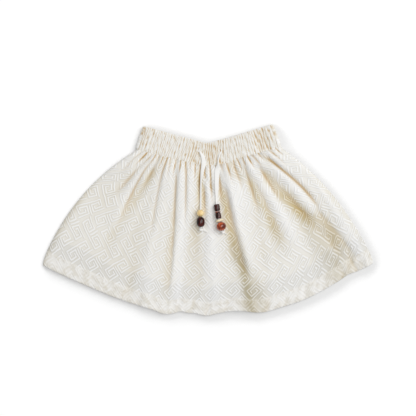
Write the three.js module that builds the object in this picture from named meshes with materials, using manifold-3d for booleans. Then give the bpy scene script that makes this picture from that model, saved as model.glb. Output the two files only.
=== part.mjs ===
// A child's gathered skirt of figured cotton, lying flat on a table with its front panel up.
// Millimetres, +Z up, +X to the wearer's left as the skirt lies, +Y towards the waist.
// The origin is on the table, at the centre of the skirt's footprint.
// Front and back panels lie on each other, gathered into an elastic casing in two halves.
// A tape comes out of two slots in the casing, and each free end carries wooden beads and a knot.

import * as THREE from "three";
import { mergeVertices } from "three/addons/utils/BufferGeometryUtils.js";
import Module from "manifold-3d";

const wasm = await Module();
wasm.setup();

// ---------------------------------------------------------------- driving dimensions

const CLOTH = 1.2; // one layer of the padded cotton weave
const SEAM_GAP = 0.3; // clear space between pieces that are sewn to each other
const WAIST_WIDTH = 203; // relaxed casing, measured flat
const HEM_WIDTH = 465; // flat, corner to corner
const TURN_UP = 19; // depth of the hem that is folded inside
const PANEL_LENGTH = 206; // casing seam to hem

const CASING = 4.0; // one half of the casing: two cloth layers and the elastic
const CASING_RIPPLE = 0.75; // height of its gathers, up and down
const GATHERS = 30; // small pleats across one panel at the casing
const COLUMNS_PER_GATHER = 3; // crest, and one point on either side

const SIDE_ROLL = 13; // width over which a side edge rolls down to the table
const CORNER_ROUND = 3; // how far a hem corner is pulled in
const LEAST_LIFT = 0.7; // front panel above the back panel where they touch
const FRONT_SPREAD = 2; // how much wider the back panel's folds show through the front one

// Sections from the left side seam to the right one, evenly spaced along the gathers:
// the casing's upper edge, the casing seam, the hem, and how far the line between the
// last two bows out of straight.
const SECTIONS = [
  { top: [-90.5, 131.8], seam: [-100.8, 98.4], hem: [-235.4, -63.4], bow: [-24, 27] },
  { top: [-68.2, 125.8], seam: [-77.1, 91.9], hem: [-173.6, -91.4], bow: [-13, 12] },
  { top: [-46, 119.8], seam: [-56.3, 86.3], hem: [-113.6, -115.2], bow: [-5, 2] },
  { top: [-24.8, 114.2], seam: [-34.5, 81.4], hem: [-55.4, -130], bow: [-1, -3] },
  { top: [-2.4, 108.6], seam: [-6.5, 75.7], hem: [-6.8, -130.6], bow: [0, -3] },
  { top: [18.4, 112.8], seam: [20.1, 77.4], hem: [62, -129.2], bow: [2, -3] },
  { top: [40.8, 119.2], seam: [47.9, 86.9], hem: [128.8, -114.4], bow: [10, 2] },
  { top: [64.6, 126.6], seam: [76.4, 94.4], hem: [193.6, -80.4], bow: [18, 13] },
  { top: [90.4, 134.2], seam: [102.2, 102.6], hem: [235, -60], bow: [15, 27] },
];

// Waves of the hem line: where across, how far down it hangs there, and the half width.
const HEM_WAVES = [
  { at: 0.36, down: 3.4, reach: 13 },
  { at: 0.42, down: -2.6, reach: 9 },
  { at: 0.51, down: 4.2, reach: 12 },
  { at: 0.585, down: -3, reach: 17 },
  { at: 0.655, down: 2.6, reach: 15 },
  { at: 0.885, down: -1.6, reach: 9 },
];

// Folds of the front panel, from the left. Each crosses share `top` of the width at the
// casing, `middle` halfway down and `foot` at the hem, and shows between `from` and `to` of
// the length. The cloth is `rise` high on the right of that line, dying away over the reach
// `over`, and `drop` deep on the left, over `under`, with a steep side `step` either way from
// the line. Equal and opposite rise and drop make a plain crease, or a plain ridge.
const FRONT_FOLDS = [
  { top: 0.112, middle: 0.092, foot: 0.08, from: 0.03, to: 0.44, rise: -2.6, over: 5, drop: 2.6, under: 5, step: 2.2 },
  { top: 0.136, middle: 0.149, foot: 0.155, from: 0.06, to: 0.56, rise: -2.6, over: 5, drop: 2.6, under: 5, step: 2.2 },
  { top: 0.197, middle: 0.152, foot: 0.14, from: 0.08, to: 0.78, rise: -2.4, over: 7, drop: 2.4, under: 7, step: 2.2 },
  { top: 0.338, middle: 0.369, foot: 0.366, from: 0.06, to: 0.6, rise: 1, over: 12, drop: 2.2, under: 5, step: 2.2 },
  { top: 0.338, middle: 0.369, foot: 0.366, from: 0.48, to: 0.98, rise: 1, over: 16, drop: 1.6, under: 10, step: 2.2 },
  { top: 0.398, middle: 0.418, foot: 0.43, from: 0.02, to: 0.46, rise: -2.4, over: 5, drop: 2.4, under: 5, step: 2.2 },
  { top: 0.49, middle: 0.494, foot: 0.49, from: 0.06, to: 0.44, rise: -1.4, over: 8, drop: 1.4, under: 8, step: 2.2 },
  { top: 0.5, middle: 0.509, foot: 0.51, from: 0.14, to: 0.44, rise: -2.6, over: 5, drop: 2.6, under: 5, step: 2.2 },
  { top: 0.496, middle: 0.474, foot: 0.462, from: 0.4, to: 1.3, rise: -0.7, over: 8, drop: 0.7, under: 11, step: 2.2 },
  { top: 0.523, middle: 0.53, foot: 0.535, from: 0.04, to: 1, rise: 1.4, over: 9, drop: -1.4, under: 9, step: 2.2 },
  { top: 0.548, middle: 0.546, foot: 0.542, from: 0.42, to: 1.3, rise: 1.8, over: 20, drop: -1.8, under: 18, step: 2.2 },
  { top: 0.598, middle: 0.575, foot: 0.56, from: 0.05, to: 0.34, rise: -2.6, over: 5, drop: 2.6, under: 5, step: 2.2 },
  { top: 0.63, middle: 0.635, foot: 0.645, from: 0.4, to: 1.3, rise: 2.6, over: 40, drop: -2.6, under: 34, step: 2.2 },
  { top: 0.624, middle: 0.629, foot: 0.642, from: 0.14, to: 0.84, rise: 2, over: 26, drop: 4.2, under: 18, step: 2.2 },
  { top: 0.624, middle: 0.629, foot: 0.64, from: 0.66, to: 1.3, rise: -2.4, over: 12, drop: 2.4, under: 14, step: 3 },
  { top: 0.738, middle: 0.757, foot: 0.72, from: 0.14, to: 0.66, rise: -3.4, over: 7, drop: 3.4, under: 9, step: 2.2 },
  { top: 0.765, middle: 0.787, foot: 0.79, from: 0.05, to: 0.8, rise: 1.2, over: 6, drop: -1.2, under: 5, step: 2.2 },
  { top: 0.85, middle: 0.862, foot: 0.875, from: 0.3, to: 1.3, rise: 3.6, over: 48, drop: -3.6, under: 48, step: 2.2 },
  { top: 0.8, middle: 0.856, foot: 0.925, from: 0.12, to: 0.9, rise: -4.4, over: 9, drop: 4.4, under: 13, step: 2.2 },
  { top: 0.85, middle: 0.878, foot: 0.89, from: 0.54, to: 1.3, rise: -3.6, over: 21, drop: 3.6, under: 21, step: 2.2 },
  { top: 0.858, middle: 0.904, foot: 0.84, from: 0.02, to: 0.6, rise: -3.6, over: 5, drop: 3.6, under: 5, step: 2.2 },
  { top: 0.858, middle: 0.862, foot: 0.866, from: 0.84, to: 1.3, rise: -1.8, over: 7, drop: 1.8, under: 7, step: 2.2 },
  { top: 0.957, middle: 0.957, foot: 0.957, from: 0.4, to: 1.3, rise: 1.4, over: 8, drop: -1.4, under: 9, step: 2.2 },
];

// Folds of the back panel stand up from the table. Between them it lies flat on it.
const BACK_FOLDS = [
  { top: 0.12, middle: 0.14, foot: 0.16, from: 0, to: 0.7, rise: 2.8, over: 9, under: 4.5 },
  { top: 0.27, middle: 0.28, foot: 0.3, from: 0, to: 1.3, rise: 3.2, over: 13, under: 6.5 },
  { top: 0.41, middle: 0.42, foot: 0.42, from: 0, to: 0.55, rise: 2.6, over: 4, under: 8 },
  { top: 0.6, middle: 0.61, foot: 0.63, from: 0, to: 1.3, rise: 3.4, over: 7, under: 14 },
  { top: 0.74, middle: 0.75, foot: 0.76, from: 0, to: 0.6, rise: 2.6, over: 9, under: 4.5 },
  { top: 0.88, middle: 0.87, foot: 0.87, from: 0, to: 0.85, rise: 2.8, over: 5, under: 10 },
];

// ---------------------------------------------------------------- small helpers

const lerp = THREE.MathUtils.lerp;
const clamp01 = (x) => Math.min(1, Math.max(0, x));
const ease = (from, to, x) => THREE.MathUtils.smoothstep(x, from, to);
const bell = (distance, reach) => Math.exp(-((distance / reach) ** 2));

// A column of SECTIONS, followed smoothly across the skirt.
function across(column) {
  return new THREE.SplineCurve(SECTIONS.map((row) => new THREE.Vector2(...row[column])));
}
const topLine = across("top");
const seamLine = across("seam");
const hemLine = across("hem");
const bowLine = across("bow");

const widthAt = (t) => lerp(WAIST_WIDTH, HEM_WIDTH, t);

// Gathers aren't evenly spaced: u counts them, and this says where across the width they are.
const uneven = (u) => u + 0.007 * Math.sin(2 * Math.PI * 3.3 * u) * Math.sin(Math.PI * u);
const gather = (u) => Math.cos(2 * Math.PI * GATHERS * u);

// ---------------------------------------------------------------- the panels' form

// Where share s of the width and share t of the length lies on the table, seen from above.
function onTable(s, t) {
  const seam = seamLine.getPoint(s);
  const hem = hemLine.getPoint(s);
  const waves = HEM_WAVES.reduce(
    (sum, wave) => sum + wave.down * bell((s - wave.at) * HEM_WIDTH, wave.reach),
    0,
  );
  hem.y -= waves;
  const middle = seam.clone().lerp(hem, 0.5).add(bowLine.getPoint(s));
  const place = new THREE.QuadraticBezierCurve(seam, middle, hem).getPoint(t);
  const side = Math.min(s, 1 - s) * widthAt(t);
  const corner = CORNER_ROUND * Math.exp(-(side + (1 - t) * PANEL_LENGTH) / 7);
  place.x += s < 0.5 ? corner : -corner;
  place.y += corner * 0.4;
  return place;
}

// How far share s of the width is to the right of a fold's line.
function pastFold({ top, middle, foot }, s, t) {
  const line = (1 - t) * (1 - 2 * t) * top + 4 * t * (1 - t) * middle + t * (2 * t - 1) * foot;
  return (s - line) * widthAt(t);
}
const foldShows = ({ from, to }, t) => ease(from - 0.06, from + 0.05, t) * (1 - ease(to - 0.24, to, t));
const fade = (distance, reach) => Math.exp(-((Math.max(distance, 0) / reach) ** 1.6));

// Height that a fold of the front panel adds at (s, t).
function frontFold(fold, s, t) {
  const past = pastFold(fold, s, t);
  const high = 0.5 * (1 + Math.tanh(past / fold.step));
  const crest = fold.rise * fade(past, fold.over);
  const trough = fold.drop * fade(-past, fold.under);
  return foldShows(fold, t) * (high * crest - (1 - high) * trough);
}

// Height of a fold of the back panel, steeper on one side, or of something spread over it.
function backFold(fold, s, t, spread) {
  const past = pastFold(fold, s, t);
  return foldShows(fold, t) * fold.rise * fade(Math.abs(past), spread * (past > 0 ? fold.over : fold.under));
}

// 0 on a side seam and 1 past its roll, as a quarter of an ellipse.
function roll(s, t, width) {
  const share = clamp01((Math.min(s, 1 - s) * widthAt(t)) / width);
  return Math.sqrt(1 - (1 - share) ** 2);
}

// The back panel's underside: on the table, or up in its folds. The front panel spreads
// softly over those.
function backUnder(u, t, spread = 1) {
  const s = uneven(u);
  const folds = BACK_FOLDS.reduce((sum, fold) => sum + backFold(fold, s, t, spread), 0);
  const gathered = (0.9 + 0.6 * gather(u)) * Math.exp(-t / 0.05);
  return Math.max(0, folds + gathered - 0.3) * roll(s, t, SIDE_ROLL);
}

// Puff of the front panel over the back one: high at the casing, low at the hem.
function puff(t) {
  const nearCasing = 4.6 * Math.exp(-(((t - 0.1) / 0.16) ** 2));
  return 2.6 + nearCasing + 2.2 * (1 - t) * ease(0, 0.1, t);
}

// How far the front panel lies above where it would touch the back one.
function frontLift(u, t) {
  const s = uneven(u);
  const gathered = 1.5 * gather(u) * Math.exp(-t / 0.11);
  const folds = FRONT_FOLDS.reduce((sum, fold) => sum + frontFold(fold, s, t), 0);
  const free = puff(t) + folds + gathered;
  const soft = free > 1.5 ? free : 1.5 * Math.exp((free - 1.5) / 1.5);
  return LEAST_LIFT + soft * roll(s, t, SIDE_ROLL);
}

const frontTop = (u, t) => backUnder(u, t, FRONT_SPREAD) + 2 * CLOTH + SEAM_GAP + frontLift(u, t);

// The turned-up hem is a second layer inside, and gathers at the casing are several deep.
function layers(t) {
  const turned = 0.8 * ease(1 - TURN_UP / PANEL_LENGTH - 0.01, 1 - TURN_UP / PANEL_LENGTH + 0.01, t);
  const gathered = 3.0 * Math.exp(-t / 0.08);
  return turned + gathered;
}

// ---------------------------------------------------------------- walls of cloth

// A closed wall between an upper and a lower surface, both given over (u, t).
function wall(upper, lower, columns, rows) {
  const points = [];
  const faces = [];
  const at = (side, i, j) => (side * (rows.length) + j) * (columns + 1) + i;
  [upper, lower].forEach((surface) =>
    rows.forEach((t) => {
      for (let i = 0; i <= columns; i++) points.push(...surface(i / columns, t));
    }),
  );
  const quad = (a, b, c, d) => faces.push(a, b, c, a, c, d);
  const last = rows.length - 1;
  for (let j = 0; j < last; j++)
    for (let i = 0; i < columns; i++) {
      quad(at(0, i, j), at(0, i, j + 1), at(0, i + 1, j + 1), at(0, i + 1, j));
      quad(at(1, i, j), at(1, i + 1, j), at(1, i + 1, j + 1), at(1, i, j + 1));
    }
  for (let i = 0; i < columns; i++) {
    quad(at(0, i, 0), at(0, i + 1, 0), at(1, i + 1, 0), at(1, i, 0));
    quad(at(0, i, last), at(1, i, last), at(1, i + 1, last), at(0, i + 1, last));
  }
  for (let j = 0; j < last; j++) {
    quad(at(0, 0, j), at(1, 0, j), at(1, 0, j + 1), at(0, 0, j + 1));
    quad(at(0, columns, j), at(0, columns, j + 1), at(1, columns, j + 1), at(1, columns, j));
  }
  const geometry = new THREE.BufferGeometry();
  geometry.setAttribute("position", new THREE.Float32BufferAttribute(points, 3));
  geometry.setIndex(faces);
  geometry.computeVertexNormals();
  return geometry;
}

// Rows are closer together near the casing, where the cloth is gathered.
function rowsDown(count) {
  return Array.from({ length: count + 1 }, (_, j) => (j / count) ** 1.25);
}

// ---------------------------------------------------------------- materials

const material = (color, roughness) => new THREE.MeshStandardMaterial({ color, roughness, metalness: 0 });
const COTTON = material("#efe8da", 0.9);
const TAPE = material("#f3efe6", 0.85);

function piece(name, geometry, finish) {
  const mesh = new THREE.Mesh(geometry, finish);
  mesh.name = name;
  return mesh;
}

// ---------------------------------------------------------------- front and back panels

function panelPoint(u, t, height) {
  const place = onTable(uneven(u), t);
  return [place.x, place.y - SEAM_GAP * (1 - t), height];
}

function frontPanel() {
  const inside = (u, t) => Math.min(layers(t), 0.8 * (frontLift(u, t) - LEAST_LIFT));
  const under = (u, t) => frontTop(u, t) - CLOTH - inside(u, t);
  return wall(
    (u, t) => panelPoint(u, t, frontTop(u, t)),
    (u, t) => panelPoint(u, t, under(u, t)),
    GATHERS * COLUMNS_PER_GATHER,
    rowsDown(12),
  );
}

function backPanel() {
  return wall(
    (u, t) => panelPoint(u, t, backUnder(u, t) + CLOTH),
    (u, t) => panelPoint(u, t, backUnder(u, t)),
    GATHERS * 2,
    rowsDown(8),
  );
}

// ---------------------------------------------------------------- the elastic casing

// Share v of the height, from the upper edge down to the seam.
function casingPlace(u, v) {
  const s = uneven(u);
  return topLine.getPoint(s).lerp(seamLine.getPoint(s), v);
}

// Fullness of the casing: full in the middle, thinner at both edges and at the side folds.
function fullness(u, v) {
  const height = 0.62 + 0.38 * Math.sqrt(Math.sin(Math.PI * lerp(0.08, 0.94, v)));
  return height * lerp(0.45, 1, roll(uneven(u), 0, 6));
}

function casingRipple(u, v) {
  return CASING_RIPPLE * gather(u) * (0.75 + 0.25 * Math.cos(2 * Math.PI * v + 9 * u));
}

function casingFront() {
  const floor = CASING + 2 * CASING_RIPPLE + SEAM_GAP;
  return wall(
    (u, v) => {
      const place = casingPlace(u, v);
      return [place.x, place.y, floor + (CASING + CASING_RIPPLE + casingRipple(u, v)) * fullness(u, v)];
    },
    (u, v) => {
      const place = casingPlace(u, v);
      return [place.x, place.y, floor];
    },
    GATHERS * COLUMNS_PER_GATHER,
    [0, 0.12, 0.5, 0.88, 1],
  );
}

function casingBack() {
  const ceiling = CASING + 2 * CASING_RIPPLE;
  return wall(
    (u, v) => {
      const place = casingPlace(u, v);
      return [place.x, place.y, ceiling];
    },
    (u, v) => {
      const place = casingPlace(u, v);
      return [place.x, place.y, CASING_RIPPLE + casingRipple(u, v) + ceiling * 0.55 * (1 - fullness(u, v))];
    },
    GATHERS * 2,
    [0, 0.15, 0.85, 1],
  );
}

// ---------------------------------------------------------------- solids cut and joined

function solidFrom(geometry) {
  const bare = geometry.clone();
  bare.deleteAttribute("normal");
  bare.deleteAttribute("uv");
  const merged = mergeVertices(bare, 1e-4);
  return new wasm.Manifold(
    new wasm.Mesh({
      numProp: 3,
      vertProperties: merged.attributes.position.array,
      triVerts: new Uint32Array(merged.index.array),
    }),
  );
}

function geometryFrom(solid) {
  const { vertProperties, triVerts } = solid.getMesh();
  const geometry = new THREE.BufferGeometry();
  geometry.setAttribute("position", new THREE.BufferAttribute(vertProperties, 3));
  geometry.setIndex(new THREE.BufferAttribute(triVerts, 1));
  geometry.computeVertexNormals();
  return geometry;
}

// ---------------------------------------------------------------- the tape's two free ends

const TAPE_RADIUS = 1.2; // the tape is crumpled into a round
const SLOT = { wide: 5.0, long: 7.0, deep: 3.4 };
const BEAD_BORE = 2.0;
const KNOT_RADIUS = 2.6;

// Each end from its slot to its knot, seen from above, and then its short tail.
// Beads are [x, y] on the tape, from the top down, turned round their hole.
const ENDS = [
  {
    side: "left",
    route: [[-13.0, 98.6], [-10.6, 94.4], [-7.0, 88.0], [-6.0, 79.0], [-8.4, 66.0], [-9.8, 54.0], [-10.2, 38.0], [-10.3, 22.0], [-10.6, 9.4], [-10.2, -2.9], [-9.9, -10.9]],
    tail: [[-8.0, -13.8], [-5.0, -15.4], [-1.8, -17.0]],
    beads: [
      { name: "round", at: [-10.6, 9.4], radius: 5.2, half: 4.8, power: 2, color: "#ecd09a", roughness: 0.45 },
      { name: "barrel", at: [-10.2, -2.9], radius: 5.7, half: 7.1, power: 5, color: "#2a1a15", roughness: 0.25 },
    ],
  },
  {
    side: "right",
    route: [[17.4, 95.8], [15.6, 90.0], [14.0, 81.0], [13.0, 70.0], [12.2, 58.0], [12.0, 44.0], [11.9, 30.0], [12.0, 22.4], [12.6, 16.9], [14.4, 5.9], [15.9, -0.5], [18.3, -8.4], [20.3, -14.6]],
    tail: [[22.0, -17.4], [24.2, -19.0], [26.8, -20.6]],
    beads: [
      { name: "tube_upper", at: [12.6, 16.9], radius: 4.1, half: 4.8, power: 6, color: "#33251f", roughness: 0.35 },
      { name: "spacer", at: [13.4, 11.2], radius: 4.1, half: 0.55, power: 4, color: "#7a3a2a", roughness: 0.4 },
      { name: "tube_lower", at: [14.4, 5.9], radius: 4.0, half: 4.35, power: 6, color: "#33251f", roughness: 0.35 },
      { name: "disc", at: [15.9, -0.5], radius: 5.3, half: 1.75, power: 3, color: "#ead6b0", roughness: 0.5 },
      { name: "round", at: [18.3, -8.4], radius: 6.8, half: 6.05, power: 2.1, color: "#8a3524", roughness: 0.2 },
    ],
  },
];

// Height of the top of the cloth under a place.
function clothUnder(cloth, x, y) {
  const ray = new THREE.Raycaster(new THREE.Vector3(x, y, 100), new THREE.Vector3(0, 0, -1));
  return ray.intersectObjects(cloth)[0]?.point.z ?? 0;
}

// Height of the middle of a ball of this radius lying on the cloth at a place.
function seatOn(cloth, radius, x, y) {
  const rings = [[0, 0]];
  for (const share of [0.5, 0.95])
    for (let i = 0; i < 8; i++)
      rings.push([share * radius * Math.cos((i * Math.PI) / 4), share * radius * Math.sin((i * Math.PI) / 4)]);
  const touching = rings.map(
    ([dx, dy]) => clothUnder(cloth, x + dx, y + dy) + Math.sqrt(radius ** 2 - dx ** 2 - dy ** 2),
  );
  return Math.max(...touching) + SEAM_GAP;
}

// Lays one end on the cloth: the tape follows it, rises to the beads and runs straight through.
function layOnCloth(end, cloth) {
  const plan = new THREE.SplineCurve(end.route.map((place) => new THREE.Vector2(...place)));
  const [first, last] = [end.beads[0], end.beads.at(-1)].map(({ at: [x, y], radius, half }) => ({
    y,
    height: Math.max(...[-0.8, 0, 0.8].map((share) => seatOn(cloth, radius, x, y + share * half))),
  }));
  const steps = 44;
  const points = Array.from({ length: steps + 1 }, (_, i) => {
    const { x, y } = plan.getPointAt(i / steps);
    const past = clamp01((first.y - y) / (first.y - last.y));
    const rise = Math.max(0, y - first.y - 6) * 0.55;
    const held = lerp(first.height, last.height, past) - rise;
    return new THREE.Vector3(x, y, Math.max(seatOn(cloth, TAPE_RADIUS + 0.4, x, y), held));
  });
  // The tape is stiff enough to span the small hollows between gathers.
  const heights = points.map((_, i) => Math.max(...points.slice(Math.max(0, i - 1), i + 2).map((p) => p.z)));
  points.forEach((point, i) => (point.z = i < 1 ? point.z : heights[i]));
  return new THREE.CatmullRomCurve3(points);
}

function round(radius) {
  const section = new THREE.Shape();
  for (let i = 0; i < 8; i++) {
    const angle = (2 * Math.PI * (i + 0.5)) / 8;
    section[i ? "lineTo" : "moveTo"](radius * Math.cos(angle), radius * Math.sin(angle));
  }
  return section;
}

function tube(curve, radius) {
  const steps = Math.max(3, Math.round(curve.getLength() / (2.2 * 2 * radius)));
  return new THREE.ExtrudeGeometry(round(radius), { steps, bevelEnabled: false, extrudePath: curve });
}

// A bead's outline from hole to hole, fuller in the shoulders as the power rises.
function beadOutline({ radius, half, power }) {
  const outline = [new THREE.Vector2(BEAD_BORE, -half)];
  const points = 8;
  for (let i = 1; i < points; i++) {
    const h = -Math.cos((Math.PI * i) / points);
    const r = radius * (1 - Math.abs(h) ** power) ** (1 / power);
    if (r > BEAD_BORE + 0.3) outline.push(new THREE.Vector2(r, h * half));
  }
  outline.push(new THREE.Vector2(BEAD_BORE, half), new THREE.Vector2(BEAD_BORE, -half));
  return outline;
}

// The share along a curve that is nearest to a place seen from above.
function nearest(curve, [x, y]) {
  const shares = Array.from({ length: 401 }, (_, i) => i / 400);
  const distance = (share) => {
    const point = curve.getPointAt(share);
    return Math.hypot(point.x - x, point.y - y);
  };
  return shares.reduce((best, share) => (distance(share) < distance(best) ? share : best), 0);
}

function beadOn(curve, side, bead) {
  const mesh = piece(
    `bead_${side}_${bead.name}`,
    new THREE.LatheGeometry(beadOutline(bead), 14),
    material(bead.color, bead.roughness),
  );
  const share = nearest(curve, bead.at);
  mesh.position.copy(curve.getPointAt(share));
  mesh.quaternion.setFromUnitVectors(new THREE.Vector3(0, 1, 0), curve.getTangentAt(share));
  return mesh;
}

// A plump knot just past the tape, with the tape's cut tail coming out of it.
function knot(side, curve, places, cloth) {
  const end = curve.getPointAt(1);
  const middle = end.clone().addScaledVector(curve.getTangentAt(1), KNOT_RADIUS * 0.85 + SEAM_GAP);
  const lump = new THREE.SphereGeometry(KNOT_RADIUS, 10, 6);
  lump.scale(1.1, 0.85, 0.9);
  middle.z = Math.max(middle.z - 1.5, seatOn(cloth, KNOT_RADIUS, middle.x, middle.y));
  lump.translate(middle.x, middle.y, middle.z);
  const tail = new THREE.CatmullRomCurve3([
    middle,
    ...places.map(([x, y]) => new THREE.Vector3(x, y, seatOn(cloth, TAPE_RADIUS + 0.3, x, y))),
  ]);
  const joined = solidFrom(lump).add(solidFrom(tube(tail, TAPE_RADIUS * 0.9)));
  return piece(`knot_${side}`, geometryFrom(joined), TAPE);
}

// ---------------------------------------------------------------- assembly

// The casing's front half, with a buttonhole slot where each end comes out.
function slottedCasing() {
  const top = 2 * CASING + 4 * CASING_RIPPLE + SEAM_GAP;
  const slots = ENDS.map(({ route: [[x, y], [nextX, nextY]] }) => {
    const slot = new THREE.BoxGeometry(SLOT.wide, SLOT.long, 2 * SLOT.deep);
    slot.rotateZ(Math.atan2(y - nextY, x - nextX) - Math.PI / 2);
    slot.translate(x, y, top);
    return solidFrom(slot);
  });
  return geometryFrom(slots.reduce((casing, slot) => casing.subtract(slot), solidFrom(casingFront())));
}

const front = piece("skirt_front", frontPanel(), COTTON);
const casing = piece("waistband_front", slottedCasing(), COTTON);
const skirt = new THREE.Group();
skirt.add(
  front,
  piece("skirt_back", backPanel(), COTTON),
  casing,
  piece("waistband_back", casingBack(), COTTON),
);
const cloth = [front, casing];
cloth.forEach((mesh) => mesh.updateMatrixWorld());

ENDS.forEach((end) => {
  const curve = layOnCloth(end, cloth);
  skirt.add(
    piece(`drawstring_${end.side}`, tube(curve, TAPE_RADIUS), TAPE),
    ...end.beads.map((bead) => beadOn(curve, end.side, bead)),
    knot(end.side, curve, end.tail, cloth),
  );
});

// The origin goes under the middle of the cloth's footprint.
const reach = new THREE.Box3();
skirt.children.slice(0, 4).forEach((mesh) => reach.expandByObject(mesh));
const middle = reach.getCenter(new THREE.Vector3());
skirt.position.set(-middle.x, -middle.y, -reach.min.z);

export default skirt;
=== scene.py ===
"""A small child's gathered skirt of ivory figured cotton, laid flat with its front up.

The cloth is built on the same sections and folds as the part's solids, with finer gathers,
a real hem, a flat twisted tape, turned beads and tied knots. Lengths in the tables are in
millimetres; everything in Blender is in metres.
"""

import math
from typing import NamedTuple

import bmesh
import bpy
import numpy as np
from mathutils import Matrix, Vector
from mathutils.bvhtree import BVHTree


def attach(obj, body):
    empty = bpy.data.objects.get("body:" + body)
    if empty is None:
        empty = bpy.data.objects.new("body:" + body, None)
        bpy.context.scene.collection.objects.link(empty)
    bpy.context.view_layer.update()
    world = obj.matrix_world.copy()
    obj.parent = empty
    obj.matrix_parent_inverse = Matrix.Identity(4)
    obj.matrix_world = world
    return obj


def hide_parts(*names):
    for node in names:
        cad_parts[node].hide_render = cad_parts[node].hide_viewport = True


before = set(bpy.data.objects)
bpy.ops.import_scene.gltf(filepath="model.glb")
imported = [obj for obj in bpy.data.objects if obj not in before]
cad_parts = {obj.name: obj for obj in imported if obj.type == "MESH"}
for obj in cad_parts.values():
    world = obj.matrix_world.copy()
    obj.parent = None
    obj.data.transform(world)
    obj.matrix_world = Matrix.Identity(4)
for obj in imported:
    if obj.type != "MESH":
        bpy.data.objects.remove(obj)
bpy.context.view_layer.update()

MM = 0.001

# ------------------------------------------------------------------ sizes of the garment, mm

CLOTH = 1.2
SEAM_GAP = 0.3
WAIST_WIDTH = 203.0
HEM_WIDTH = 465.0
PANEL_LENGTH = 206.0
TURN_UP = 19.0
INNER_LAYER = 40.0  # how far above the hem the painted shade of the layer inside reaches
CASING = 4.0  # the cloth with the elastic in it
CASING_MIDDLE = 5.65  # height halfway between the casing's front and its back
CASING_HEIGHT = 34.0
SIDE_ROLL = 13.0  # how far in from a side seam the front rises
CORNER_ROUND = 3.0  # how far the hem's corners are drawn in
CORNER_REACH = 7.0
GATHERS = 30
GATHER_LENGTH = 0.06  # as a share of the panel's
GATHER_HEIGHT = 1.8
RIBS = 53
RIB_DEPTH = 0.95
RIB_TAKES = 5.0  # how much cloth the elastic draws into each rib
KEY_UNIT = 3.5  # one line of the key pattern and the space beside it


class Section(NamedTuple):
    """One line down the skirt: casing's edge, casing's seam, hem, and how far it bows."""

    top: tuple
    seam: tuple
    hem: tuple
    bow: tuple


SECTIONS = [
    Section((-90.5, 131.8), (-100.8, 98.4), (-235.4, -63.4), (-24, 27)),
    Section((-68.2, 125.8), (-77.1, 91.9), (-173.6, -91.4), (-13, 12)),
    Section((-46.0, 119.8), (-56.3, 86.3), (-113.6, -115.2), (-5, 2)),
    Section((-24.8, 114.2), (-34.5, 81.4), (-55.4, -130.0), (-1, -3)),
    Section((-2.4, 108.6), (-6.5, 75.7), (-6.8, -130.6), (0, -3)),
    Section((18.4, 112.8), (20.1, 77.4), (62.0, -129.2), (2, -3)),
    Section((40.8, 119.2), (47.9, 86.9), (128.8, -114.4), (10, 2)),
    Section((64.6, 126.6), (76.4, 94.4), (193.6, -80.4), (18, 13)),
    Section((90.4, 134.2), (102.2, 102.6), (235.0, -60.0), (15, 27)),
]


class Wave(NamedTuple):
    """A wave of the hem line: where across, how far down, half width."""

    at: float
    down: float
    reach: float


HEM_WAVES = [
    Wave(0.36, 3.4, 13),
    Wave(0.42, -2.6, 9),
    Wave(0.51, 4.2, 12),
    Wave(0.585, -3.0, 17),
    Wave(0.655, 2.6, 15),
    Wave(0.885, -1.6, 9),
]

CASING_WAVES = [
    Wave(0.00, 1.5, 9),
    Wave(0.43, 1.2, 8),
    Wave(0.53, 1.6, 10),
    Wave(0.61, 0.9, 6),
    Wave(0.875, 1.5, 5),
    Wave(0.915, 1.3, 4),
]


class Fold(NamedTuple):
    """A fold down a panel. It crosses shares top, middle and foot of the width, between
    start and end of the length. On its high side, the right one when facing is 1, the cloth
    stands rise over a reach, and on the other side it drops. step is the half width of its
    steep side, and hides is how much cloth is tucked into it at the casing."""

    top: float
    middle: float
    foot: float
    start: float
    end: float
    rise: float
    over: float
    drop: float
    under: float
    facing: int
    step: float = 2.2
    hides: float = 0.0


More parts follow.
